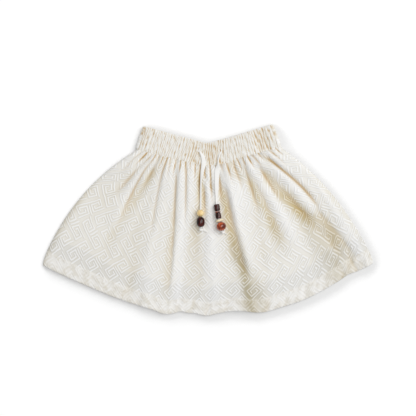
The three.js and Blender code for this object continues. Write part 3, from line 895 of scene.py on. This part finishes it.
def front_panel():
    """The front puffs over the back, sewn in under the casing and turned up at its hem."""
    bm, x, y = grid_sheet(320, len(ROWS) - 1)
    u, t = finer_at_sides(x), np.interp(y, np.linspace(0, 1, len(ROWS)), ROWS)
    s = uneven(u)
    place = on_table(s, t)
    edge = roll(s, t, EDGE_ROLL)
    round_hem = 1 - np.clip((1 - t) * PANEL_LENGTH / HEM_ROLL, 0, 1)
    hem_drop = HEM_DROP * (1 - np.sqrt(1 - round_hem**2))
    height = lerp(EDGE_HEIGHT, front_top(u, t), edge) - hem_drop * edge
    height = lerp(np.minimum(height, SEWN_IN), height, smoothstep(0, 0.014, t))
    place[:, 1] += UNDER_CASING * (1 - smoothstep(0, 0.02, t))
    set_places(bm, np.column_stack([place, height]))
    set_uv(bm, cloth_across(FRONT_FOLDS, u, t), t * PANEL_LENGTH)
    obj = new_piece("front_panel", bm, cotton)
    weigh(obj, "layers", 0.5 + 0.5 * turned_up(t) * edge)
    paint_front(obj, u, t)
    thicken(obj, 2 * CLOTH, "layers")
    return obj


def paint_front(obj, u, t):
    """Paints the front: painted shade where it lies low or is creased, a painted highlight where
    it lies high, where it is double, and a painted shade above the hem, over the layer inside.
    """
    s, hem = uneven(u), turned_up(t)
    inside = np.clip(u, 0.03, 0.97)
    here = front_top(inside, t)
    broad = sum(beside(inside, t, reach) - here for reach in (5, 9, 14, 20))
    # painted shade in the folds' hollows, from the front's own heights and the places listed for it
    painted_fold_shade = beside(inside, t, 14, 20) - (here + 2 * beside(inside, t, 3)) / 3
    painted_fold_shade = np.clip((painted_fold_shade - 0.3) / 4.4, 0, 1) ** 1.3 + broad_places(PAINTED_SHADE_PLACES, s, t)
    lower = smoothstep(0.3, 0.8, t)  # the painted shade in the folds is warm above and only dim below
    paint(obj, "painted_fold_shade", painted_fold_shade * (1 - lower))
    paint(obj, "painted_fold_shade_below", painted_fold_shade * lower)
    # painted shade, warm, in the front's valleys
    paint(obj, "painted_valley_shade", np.clip(broad / 14 - 0.1, 0, 1))
    # painted highlight where the front stands high, and on the places listed for it
    raised = np.clip(0.12 - broad / 11, 0, 1) * (1 - hem) + broad_places(PAINTED_HIGHLIGHT_PLACES, s, t)
    paint(obj, "raised", np.minimum(raised, 1))
    # painted shade down in the narrow creases
    painted_crease_shade = np.clip((beside(inside, t, 2.2) - here) / 1.1 - 0.12, 0, 1)
    paint(obj, "painted_crease_shade", painted_crease_shade * (1.3 - 0.3 * smoothstep(0.05, 0.3, t) - 0.5 * lower))
    paint(obj, "turned", hem)
    # painted shade in a band above the hem, over the layer inside
    edge = INNER_LAYER * (1 + 0.08 * wander(s * 3, 31))
    shade_above_hem = smoothstep(edge + 1.5, edge - 1.5, (1 - t) * PANEL_LENGTH)
    paint(obj, "shade_above_hem", (1 - hem) * shade_above_hem)


def back_panel():
    """The back lies on the table, a little inside the front's edges."""
    bm, x, y = grid_sheet(120, 48)
    u, t = finer_at_sides(x), y
    place = on_table(lerp(0.5, uneven(u), 0.988), lerp(0.5, t, 0.99))
    set_places(bm, np.column_stack([place, back_under(u, t) + CLOTH]))
    set_uv(bm, cloth_across(BACK_FOLDS, u, t), t * PANEL_LENGTH)
    obj = new_piece("back_panel", bm, cotton)
    paint(obj, "turned", turned_up(t))
    thicken(obj, CLOTH)
    return obj


# ------------------------------------------------------------------ the elastic casing


def casing_round(share):
    """Round the flattened tube of the casing: share across, and the way its face looks."""
    bend = (CASING + SEAM_GAP) / 2
    outer = bend + CASING / 2
    straight, turn = WAIST_WIDTH - 2 * outer, math.pi * outer
    stops = np.cumsum([0, straight, turn, straight, turn])
    inset = outer / WAIST_WIDTH
    s = np.interp(share * stops[-1], stops, [inset, 1 - inset, 1 - inset, inset, inset])
    facing = np.interp(share * stops[-1], stops, [90, 90, -90, -90, -270])
    return s, np.radians(facing), bend


def in_buttonhole(end, places):
    """Where these places are in an end's buttonhole, in half widths and half lengths of it.
    It stands upright in the casing, and the tape comes out of its lower half."""
    start = end.route[0]
    middle = np.array([start.x, start.y + 1.0])
    share = 0.5 + middle[0] / WAIST_WIDTH
    down = section_line("seam", share) - section_line("top", share)
    down /= np.linalg.norm(down)
    off = places - middle
    across = off @ np.array([-down[1], down[0]])
    return across / (BUTTONHOLE[0] / 2), (off @ down) / (BUTTONHOLE[1] / 2)


def cut_slit(place):
    """1 in the slit of either buttonhole."""
    return sum(
        np.exp(-((across / 0.32) ** 2)) * np.exp(-((along / 0.72) ** 6))
        for across, along in (in_buttonhole(end, place) for end in ENDS)
    )


def casing():
    """A band of cloth round the elastic, flattened, and shirred on its outer face, with painted
    shade in its rib valleys and slits and a painted highlight on its rib crests. Columns go round
    the waist, and rows go down that face and up the inner one."""
    bm, x, y = grid_sheet(1080, 36)
    s, facing, bend = casing_round(x)
    outer = y < 0.5
    front = outer & (facing > 0)
    v = 0.5 - 0.5 * np.cos(2 * np.pi * y)
    v = lerp(v, 0.5 - 0.5 * np.cos(np.pi * v), 0.35)  # rows lie closer along both edges
    off_middle = np.abs(2 * v - 1)
    squareness = np.where(v < 0.5, 5, 7)
    half = CASING / 2 * np.sqrt(np.clip(1 - off_middle**squareness, 0, 1)) * np.where(outer, 1, -1)
    flat = np.clip(1 - off_middle**8, 0, 1)

    u = s - creep(s)
    ribbed = ribs(u + (facing < 0) * 3.1, v)
    rib = np.where(outer, RIB_DEPTH * ribbed * lerp(1.0, flat, v < 0.5), 0)
    waves = sum(
        wave.down * np.exp(-(((s - wave.at) * WAIST_WIDTH / wave.reach) ** 2)) for wave in CASING_WAVES
    )
    sunk = np.where(front, waves * flat, 0)

    top, seam = section_line("top", s), section_line("seam", s)
    down = (seam - top) / np.linalg.norm(seam - top, axis=1)[:, None]
    frill = 0.3 * ribbed * np.where(v < 0.5, -1, 0.6) * off_middle**6
    place = lerp(top, seam, v[:, None]) + down * frill[:, None]
    slit = cut_slit(place) * front
    outward = bend * np.cos(facing) + (half + rib) * np.cos(facing)
    place += np.column_stack([-down[:, 1], down[:, 0]]) * outward[:, None]
    proud = half + rib - sunk - SLIT_DEPTH * slit
    height = CASING_MIDDLE + bend * np.sin(facing) + proud * np.sin(facing)
    set_places(bm, np.column_stack([place, np.maximum(height, 0.1)]))

    count = RIBS * u
    taken_in = RIB_TAKES * (count - 0.9 * np.sin(2 * np.pi * count) / (2 * np.pi))
    set_uv(bm, s * WAIST_WIDTH + taken_in, -v * CASING_HEIGHT)
    layer = bm.verts.layers.float.new("rib")
    # painted light and shade: lighter on rib crests, darker in rib valleys, sunk places and slits
    shading = (np.where(outer, ribbed, 0) - 0.2 * sunk) * np.clip(np.sin(facing), 0, 1) - 0.7 * slit
    for vertex, value in zip(bm.verts, shading):
        vertex[layer] = value
    join_ring(bm)
    rib_light_and_shade = np.array([vertex[layer] for vertex in bm.verts])
    obj = new_piece("elastic_casing", bm, cotton)
    # painted shade in the rib valleys and slits, and a painted highlight on the rib crests
    paint(obj, "painted_valley_shade", np.clip(-1.1 * rib_light_and_shade, 0, 1))
    paint(obj, "painted_crease_shade", np.clip(-2.6 * rib_light_and_shade - 0.5, 0, 1))
    paint(obj, "shirred", np.ones(len(rib_light_and_shade)))
    paint(obj, "raised", np.clip(3.6 * rib_light_and_shade, 0, 1))
    return obj


# ------------------------------------------------------------------ stitches


class Cloth:
    """The cloth that things lie on, to be asked how high it is."""

    def __init__(self, *pieces):
        self.trees = [
            BVHTree.FromPolygons(
                [vertex.co for vertex in piece.data.vertices],
                [face.vertices for face in piece.data.polygons],
            )
            for piece in pieces
        ]

    def height(self, x, y):
        above, down = Vector((x * MM, y * MM, 0.1)), Vector((0, 0, -1))
        hits = [tree.ray_cast(above, down)[0] for tree in self.trees]
        return max([hit.z / MM for hit in hits if hit], default=0.0)

    def seat(self, radius, x, y):
        """How high the middle of a ball of this radius lies on it."""
        heights = [self.height(x, y) + radius]
        for share in (0.5, 0.95):
            for angle in np.linspace(0, 2 * math.pi, 8, endpoint=False):
                dx, dy = share * radius * math.cos(angle), share * radius * math.sin(angle)
                ball = math.sqrt(radius**2 - dx**2 - dy**2)
                heights.append(self.height(x + dx, y + dy) + ball)
        return max(heights) + 0.2


def smoothed(values, mode):
    """Each value's mean with the three on either side of it."""
    return np.convolve(np.pad(values, 3, mode=mode), np.ones(7) / 7, mode="valid")


def buttonhole(end, cloth, steps=49, wide=1.1, thick=0.7):
    """A rim of close stitches round the slit."""
    angle = np.linspace(0, 2 * math.pi, steps)
    rim = np.column_stack([np.cos(angle), np.sign(np.sin(angle)) * np.abs(np.sin(angle)) ** 0.7])
    centre = np.array(in_buttonhole(end, np.zeros(2)))
    across, down = (np.array(in_buttonhole(end, one)) - centre for one in np.eye(2))
    to_place = np.linalg.inv(np.column_stack([across, down]))
    flat = -to_place @ centre + (rim * [0.72, 0.9]) @ to_place.T
    path = np.array([(x, y, cloth.height(x, y) + 0.1) for x, y in flat])
    path[:, 2] = smoothed(path[:, 2], "wrap")
    bm = bmesh.new()
    sweep(bm, path, np.full(steps, wide), np.full(steps, thick), np.zeros(steps), sides=10)
    return new_piece(f"buttonhole_{end.side}", bm, tape_cloth)


def hem_stitches(cloth, pitch=3.6, length=2.3, thread=0.22):
    """Machine stitches that hold the turned-up hem."""
    share = np.linspace(0.03, 0.97, 2000)
    line = on_table(share, np.full_like(share, 1 - (TURN_UP - 1.5) / PANEL_LENGTH))
    along = lengths_along(line)
    bm = bmesh.new()
    for at in np.arange(pitch, along[-1] - pitch, pitch):
        (x0, y0), (x1, y1) = (
            [np.interp(at + side * length / 2, along, column) for column in line.T] for side in (-1, 1)
        )
        first = Vector((x0, y0, cloth.height(x0, y0) + 0.05))
        last = Vector((x1, y1, cloth.height(x1, y1) + 0.05))
        turn = Vector((0, 0, 1)).rotation_difference(last - first).to_matrix().to_4x4()
        made = bmesh.ops.create_uvsphere(bm, u_segments=6, v_segments=5, radius=1.0)["verts"]
        bmesh.ops.scale(bm, verts=made, vec=(thread * MM, thread * MM, 0.55 * length * MM))
        bmesh.ops.transform(bm, verts=made, matrix=turn)
        bmesh.ops.translate(bm, verts=made, vec=(first + last) / 2 * MM)
    return new_piece("hem_stitches", bm, tape_cloth)


# ------------------------------------------------------------------ the tape, beads and knots


def sweep(bm, path, wide, thick, turn, sides=16):
    """Carries a soft flat section along a path, with its width, thickness and twist at each
    point. It comes out closed at both ends."""
    start = len(bm.verts)
    bmesh.ops.create_grid(bm, x_segments=sides, y_segments=len(path) - 1, size=0.5)
    bm.verts.ensure_lookup_table()
    verts = bm.verts[start:]
    flat = np.array([vertex.co for vertex in verts])
    angle = 2 * math.pi * (flat[:, 0] + 0.5)
    row = np.rint((0.5 - flat[:, 1]) * (len(path) - 1)).astype(int)
    tangents = np.gradient(path, axis=0)
    tangents /= np.linalg.norm(tangents, axis=1)[:, None]
    sides_on = [np.cross(tangents[0], (0, 0, 1))]
    for tangent in tangents:
        side = sides_on[-1] - tangent * np.dot(sides_on[-1], tangent)
        sides_on.append(side / np.linalg.norm(side))
    side = np.array(sides_on[1:])
    up = np.cross(side, tangents)
    turned = np.radians(turn)[:, None]
    across = side * np.cos(turned) + up * np.sin(turned)
    out = up * np.cos(turned) - side * np.sin(turned)
    x = np.sign(np.cos(angle)) * np.abs(np.cos(angle)) ** 0.75 * (wide / 2)[row]
    z = np.sign(np.sin(angle)) * np.abs(np.sin(angle)) ** 0.75 * (thick / 2)[row]
    places = path[row] + across[row] * x[:, None] + out[row] * z[:, None]
    layer = bm.loops.layers.uv.verify()
    uv = dict(zip(verts, zip(x * MM, lengths_along(path)[row] * MM)))
    for vertex, place in zip(verts, places * MM):
        vertex.co = place
    for face in {face for vertex in verts for face in vertex.link_faces}:
        for loop in face.loops:
            loop[layer].uv = uv[loop.vert]
    bmesh.ops.remove_doubles(bm, verts=verts, dist=1e-7)
    bmesh.ops.holes_fill(bm, edges=bm.edges)
    bmesh.ops.recalc_face_normals(bm, faces=bm.faces)


def route_on_cloth(end, cloth, steps=110):
    """Where the middle of the tape lies, with its width and twist at each step: over the
    gathers, up to the beads and straight through them."""
    table = spline([tuple(place) for place in end.route], np.linspace(0, 1, 600))
    length = lengths_along(table[:, :2])
    even = np.linspace(0, length[-1], steps)
    x, y, wide, turn = (np.interp(even, length, column) for column in table.T)

    def hole(bead):
        """How high a bead's hole is over the table where it lies on the cloth."""
        at_x, at_y = bead.at
        return max(cloth.seat(bead.radius, at_x, at_y + share * bead.half) for share in (-0.8, 0, 0.8))

    first, last = end.beads[0], end.beads[-1]
    past = np.clip((first.at[1] - y) / (first.at[1] - last.at[1]), 0, 1)
    held = lerp(hole(first), hole(last), past) - np.maximum(0, y - first.at[1] - 6) * 0.55
    lies = np.array([
        max(cloth.height(px + side * w / 2, py) for side in (-0.9, -0.45, 0, 0.45, 0.9)) + t / 2 + 0.15
        for px, py, w, t in zip(x, y, wide, thickness(wide))
    ])
    spans = np.array([lies[max(0, i - 3):i + 4].max() for i in range(steps)])
    height = np.maximum(np.maximum(smoothed(spans, "edge"), lies), held)
    comes_out = 6  # steps up out of the slit
    rise = smoothstep(0, comes_out, np.arange(comes_out))
    height[:comes_out] = lerp(lies[0] - 2.6, height[comes_out], rise)
    return np.column_stack([x, y, height]), wide, turn


def thickness(wide):
    """The tape is thin where it lies flat and thick where it is folded up."""
    return np.interp(wide, [TAPE_FOLDED, TAPE_WIDTH], [1.9, 0.8])


def bead_piece(end, bead, path):
    """Half the outline of the bead is spun round its hole, then set on the tape."""
    angle = np.linspace(0, math.pi, 33)
    power = 2 / bead.power
    r = bead.radius * np.sin(angle) ** power
    h = -np.sign(np.cos(angle)) * np.abs(np.cos(angle)) ** power * bead.half
    outline = [(BEAD_BORE, -bead.half)]
    outline += [(a, b) for a, b in zip(r, h) if a > BEAD_BORE + 0.25]
    outline += [(BEAD_BORE, bead.half)]
    bm = bmesh.new()
    verts = [bm.verts.new((a * MM, b * MM, 0)) for a, b in outline]
    edges = [bm.edges.new((verts[i - 1], verts[i])) for i in range(len(verts))]
    full = dict(axis=(0, 1, 0), cent=(0, 0, 0), angle=2 * math.pi, steps=48, use_merge=True)
    bmesh.ops.spin(bm, geom=verts + edges, **full)
    bmesh.ops.recalc_face_normals(bm, faces=bm.faces)
    if bead.name.startswith("tube"):
        flute(bm)
    step = int(np.argmin(np.linalg.norm(path[:, :2] - bead.at, axis=1)))
    tangent = Vector(path[min(step + 1, len(path) - 1)] - path[step - 1]).normalized()
    turn = Vector((0, 1, 0)).rotation_difference(tangent)
    bmesh.ops.rotate(bm, verts=bm.verts, cent=(0, 0, 0), matrix=turn.to_matrix())
    bmesh.ops.translate(bm, verts=bm.verts, vec=Vector(path[step] * MM))
    obj = new_piece(f"turned_{end.side}_{bead.name}", bm, bead_woods[bead.finish])
    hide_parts(f"bead_{end.side}_{bead.name}")
    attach(obj, "root")
    return obj


def flute(bm, flutes=11, depth=0.05):
    """Shallow grooves along a tube bead."""
    for vertex in bm.verts:
        angle = math.atan2(vertex.co.z, vertex.co.x)
        inset = depth * (0.5 - 0.5 * math.cos(flutes * angle)) ** 3
        if math.hypot(vertex.co.x, vertex.co.z) > (BEAD_BORE + 0.4) * MM:
            vertex.co.x *= 1 - inset
            vertex.co.z *= 1 - inset


def knot_piece(end, path, cloth, wrap_steps=46, tail_steps=26):
    """The tape goes twice round itself and ends in a short cut tail."""
    along = path[-1] - path[-4]
    along /= np.linalg.norm(along)
    middle = path[-1] + along * (KNOT_RADIUS * 0.85 + SEAM_GAP)
    middle[2] = max(middle[2] - 1.5, cloth.seat(KNOT_RADIUS, *middle[:2]))
    side = np.cross(along, (0, 0, 1))
    side /= np.linalg.norm(side)
    up = np.cross(side, along)
    turn = np.linspace(-0.5 * math.pi, 3.6 * math.pi, wrap_steps)
    share = np.linspace(-1, 1, wrap_steps)
    radius = 1.75 * np.sqrt(1 - 0.35 * share**2)
    wraps = (
        middle
        + along * (share * 1.5 + 0.35 * np.sin(turn))[:, None]
        + side * (radius * np.cos(turn))[:, None]
        + up * (radius * np.sin(turn))[:, None]
    )
    tail = np.array([(x, y, cloth.height(x, y) + 0.8) for x, y in end.tail])
    leaves = spline([wraps[-2], wraps[-1], *tail], np.linspace(0.26, 1, tail_steps))
    route = np.vstack([wraps, leaves])

    def section(wrapped, leaving):
        """A size of the tape all along: drawn tight in the wraps, and spreading in the tail."""
        spreads = np.interp(np.linspace(0, 1, tail_steps), [0, 0.4, 1], leaving)
        return np.concatenate([np.full(wrap_steps, wrapped), spreads])

    wide, thick = section(2.3, [2.2, 2.6, 3.2]), section(1.7, [1.6, 1.2, 0.9])
    bm = bmesh.new()
    sweep(bm, route, wide, thick, np.linspace(0, 30, len(route)), sides=12)
    obj = new_piece(f"tied_knot_{end.side}", bm, tape_cloth)
    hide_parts(f"knot_{end.side}")
    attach(obj, "root")
    return obj


def free_end(end, cloth):
    """A free end of the tape with its beads and its knot."""
    path, wide, turn = route_on_cloth(end, cloth)
    bm = bmesh.new()
    sweep(bm, path, wide, thickness(wide), turn)
    obj = new_piece(f"tape_{end.side}", bm, tape_cloth)
    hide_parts(f"drawstring_{end.side}")
    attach(obj, "root")
    on_it = [bead_piece(end, bead, path) for bead in end.beads] + [knot_piece(end, path, cloth)]
    path[0] * MM
    [place * MM for place in path]


front = front_panel()
back = back_panel()
band = casing()

laid_on = Cloth(front, band)
holes = [buttonhole(end, laid_on) for end in ENDS]
stitches = hem_stitches(laid_on)

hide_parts("skirt_front")
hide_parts("skirt_back")
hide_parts("waistband_front", "waistband_back")
for pieces, finish_slot in (([front, back], "cotton"), ([band], "casing"), ([*holes, stitches], "tape")):
    for piece in pieces:
        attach(piece, "root")

for end in ENDS:
    free_end(end, laid_on)

# ------------------------------------------------------------------ floor, light and camera


def floor():
    """A pale table, a little lit from within to keep it even. The shade on it is a painted shadow
    in its colour and its glow, soft, and deepest close to the cloth, below it and to its right."""
    bm = bmesh.new()
    bmesh.ops.create_grid(bm, x_segments=1, y_segments=1, size=3.0)
    finish = Finish("pale table", roughness=0.8)
    painted_shadow_lean = finish.node("CombineXYZ", None, -0.47, 0.46, 0.75)
    samples = {"samples": 16}
    open_sky = finish.node("AmbientOcclusion", samples, Distance=0.032, Normal=painted_shadow_lean, output="AO")
    near_sky = finish.node("AmbientOcclusion", samples, Distance=0.016, output="AO")
    # painted shadow: ambient occlusion darkens the table's colour and glow near the cloth
    dark = (1 - open_sky) ** 0.6 * 1.2 - 0.2
    light = 1 - dark.at_least((1 - near_sky) * 0.4).at_most(0.25)
    finish.shade("Base Color", finish.blend(light, (0, 0, 0, 1), (0.86, 0.86, 0.86, 1)))
    finish.shade("Emission Color", finish.blend(light, (0, 0, 0, 1), (1, 1, 1, 1)))
    finish.surface.inputs["Emission Strength"].default_value = 0.22
    obj = new_piece("table", bm, finish.material)
    obj.location.z = -0.0002
    return obj


def soft_light(name, place, size, power):
    """A round lamp at this place, facing the skirt."""
    light = bpy.data.lights.new(name, "AREA")
    light.shape, light.size, light.energy = "DISK", size, power
    obj = bpy.data.objects.new(name, light)
    obj.location = place
    obj.rotation_euler = (-Vector(place)).to_track_quat("-Z", "Y").to_euler()
    bpy.context.scene.collection.objects.link(obj)


def even_sky(strength):
    """White light from all round."""
    sky = bpy.data.worlds.new("studio")
    sky.use_nodes = True
    background = sky.node_tree.nodes["Background"]
    background.inputs["Color"].default_value = (1.0, 1.0, 1.0, 1)
    background.inputs["Strength"].default_value = strength
    bpy.context.scene.world = sky


def camera_above(place, lens):
    """A camera that looks straight down, its place in metres and its lens in millimetres."""
    camera = bpy.data.objects.new("camera", bpy.data.cameras.new("camera"))
    camera.data.lens = lens
    camera.location = place
    bpy.context.scene.collection.objects.link(camera)
    bpy.context.scene.camera = camera


floor()
soft_light("key", (3.4, 2.0, 5.0), 5.0, 200)
soft_light("overhead", (0.2, 0.1, 3.0), 1.6, 26)
even_sky(0.36)
bpy.context.scene.view_settings.view_transform = "Standard"
camera_above((0, 0.0168, 1.41), 86.5)
